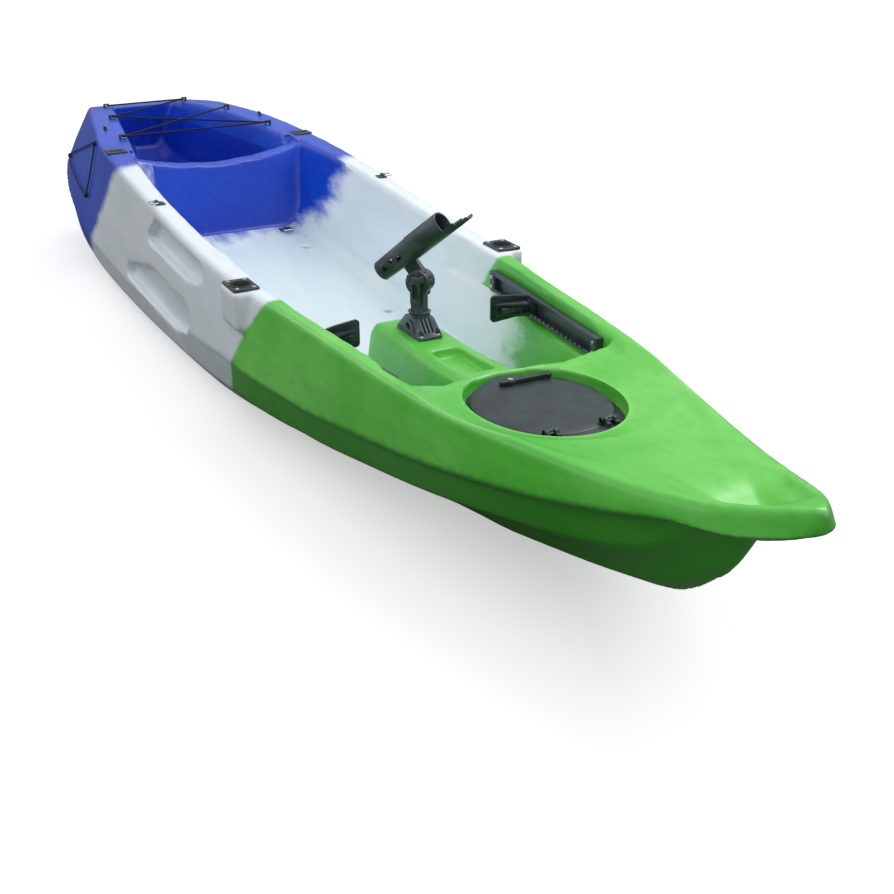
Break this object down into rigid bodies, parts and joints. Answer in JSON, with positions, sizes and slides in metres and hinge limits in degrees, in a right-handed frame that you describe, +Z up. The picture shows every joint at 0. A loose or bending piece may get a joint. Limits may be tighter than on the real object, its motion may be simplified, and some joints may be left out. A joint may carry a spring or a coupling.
{
  "type": "sit-on-top kayak",
  "caption": "Sit-on-top fishing kayak with adjustable foot braces, an oval bow hatch, a swivelling rod holder, gunwale sockets and a corded rear tank well.",
  "frame": {"origin": "on the keel line near mid length, at the lowest point of the bottom", "axes": "+X towards the bow, +Y to port, +Z up"},
  "size_m": [3.356, 0.716, 0.5232],
  "materials": {
    "hull": "satin rotomoulded polyethylene, blue aft, white amidships, green forward",
    "hatch": "satin black",
    "fitting": "moulded nylon",
    "holder": "glass-filled nylon",
    "rail": "moulded nylon",
    "gasket": "foam rubber",
    "cord": "braided sleeve over rubber",
    "ring": "polished stainless wire",
    "screw": "stainless"
  },
  "bodies": {
    "hull": {"eye_strap_port": "fitting", "eye_strap_stbd": "fitting", "foot_rail_port": "rail", "foot_rail_screws": "screw", "foot_rail_stbd": "rail", "hatch_frame": "hatch", "hatch_gasket": "gasket", "hatch_hinge_pins": "screw", "hull": "hull", "keeper_clips_port": "fitting", "keeper_clips_stbd": "fitting", "keeper_cord_port": "cord", "keeper_cord_stbd": "cord", "keeper_knob_port": "fitting", "keeper_knob_stbd": "fitting", "ring_pad_port": "fitting", "ring_pad_stbd": "fitting", "rod_base": "holder", "rod_base_screws": "screw", "seat_pad_port": "fitting", "seat_pad_stbd": "fitting", "slot_plate_port": "fitting", "slot_plate_stbd": "fitting", "socket_plate_port": "fitting", "socket_plate_stbd": "fitting", "socket_screws": "screw", "tank_cord": "cord", "tank_hook_screws": "screw", "tank_hooks": "fitting"},
    "tie_ring_stbd": {"tie_ring_stbd": "ring"},
    "seat_ring_stbd": {"seat_ring_stbd": "ring"},
    "pedal_stbd": {"foot_pedal_stbd": "rail", "foot_latch_pin_stbd": "screw"},
    "latch_stbd": {"foot_latch_stbd": "rail"},
    "tie_ring_port": {"tie_ring_port": "ring"},
    "seat_ring_port": {"seat_ring_port": "ring"},
    "pedal_port": {"foot_pedal_port": "rail", "foot_latch_pin_port": "screw"},
    "latch_port": {"foot_latch_port": "rail"},
    "lid": {"hatch_lid": "hatch", "hatch_lever_pin": "screw"},
    "lever": {"hatch_lever": "hatch"},
    "post": {"rod_post": "holder", "rod_pivot_bolt": "screw", "rod_lever_pin": "screw"},
    "knob": {"rod_knob": "holder"},
    "lock": {"rod_lock_lever": "holder"},
    "tube": {"rod_tube": "holder"}
  },
  "joints": [
    {"name": "hatch_hinge", "type": "hinge", "parent": "hull", "child": "lid", "pos_m": [1.046, 0, 0.279], "axis": [0, 1, 0], "range_deg": [0, 100]},
    {"name": "hatch_lever_turn", "type": "hinge", "parent": "lid", "child": "lever", "pos_m": [0.808, -0.004, 0.275], "axis": [0, 0, -1], "range_deg": [0, 90]},
    {"name": "rod_swivel", "type": "hinge", "parent": "hull", "child": "post", "pos_m": [0.415, 0, 0.299], "axis": [0, 0, 1], "continuous": true},
    {"name": "rod_tilt", "type": "hinge", "parent": "post", "child": "tube", "pos_m": [0.415, 0, 0.366], "axis": [0.5962, -0.8028, 0], "range_deg": [-35, 50]},
    {"name": "rod_knob_turn", "type": "hinge", "parent": "post", "child": "knob", "pos_m": [0.39413, 0.0281, 0.366], "axis": [-0.5962, 0.8028, 0], "continuous": true},
    {"name": "rod_lock_swing", "type": "hinge", "parent": "post", "child": "lock", "pos_m": [0.42573, -0.01445, 0.379], "axis": [-0.8028, -0.5962, 0], "range_deg": [0, 20]},
    {"name": "pedal_slide_stbd", "type": "slide", "parent": "hull", "child": "pedal_stbd", "axis": [0.9971, 0.0767, 0], "range_m": [-0.13, 0.25]},
    {"name": "latch_swing_stbd", "type": "hinge", "parent": "pedal_stbd", "child": "latch_stbd", "pos_m": [0.46549, -0.22162, 0.286], "axis": [0, 0, 1], "range_deg": [0, 4.5]},
    {"name": "tie_ring_swing_stbd", "type": "hinge", "parent": "hull", "child": "tie_ring_stbd", "pos_m": [-0.425, -0.315, 0.38672], "axis": [-1, 0, 0], "range_deg": [0, 120]},
    {"name": "seat_ring_swing_stbd", "type": "hinge", "parent": "hull", "child": "seat_ring_stbd", "pos_m": [-0.766, -0.158, 0.17475], "axis": [0, -1, 0], "range_deg": [0, 120]},
    {"name": "pedal_slide_port", "type": "slide", "parent": "hull", "child": "pedal_port", "axis": [0.9971, -0.0767, 0], "range_m": [-0.13, 0.25]},
    {"name": "latch_swing_port", "type": "hinge", "parent": "pedal_port", "child": "latch_port", "pos_m": [0.46549, 0.22162, 0.286], "axis": [0, 0, -1], "range_deg": [0, 4.5]},
    {"name": "tie_ring_swing_port", "type": "hinge", "parent": "hull", "child": "tie_ring_port", "pos_m": [-0.425, 0.315, 0.38672], "axis": [1, 0, 0], "range_deg": [0, 120]},
    {"name": "seat_ring_swing_port", "type": "hinge", "parent": "hull", "child": "seat_ring_port", "pos_m": [-0.766, 0.158, 0.17475], "axis": [0, -1, 0], "range_deg": [0, 120]}
  ]
}
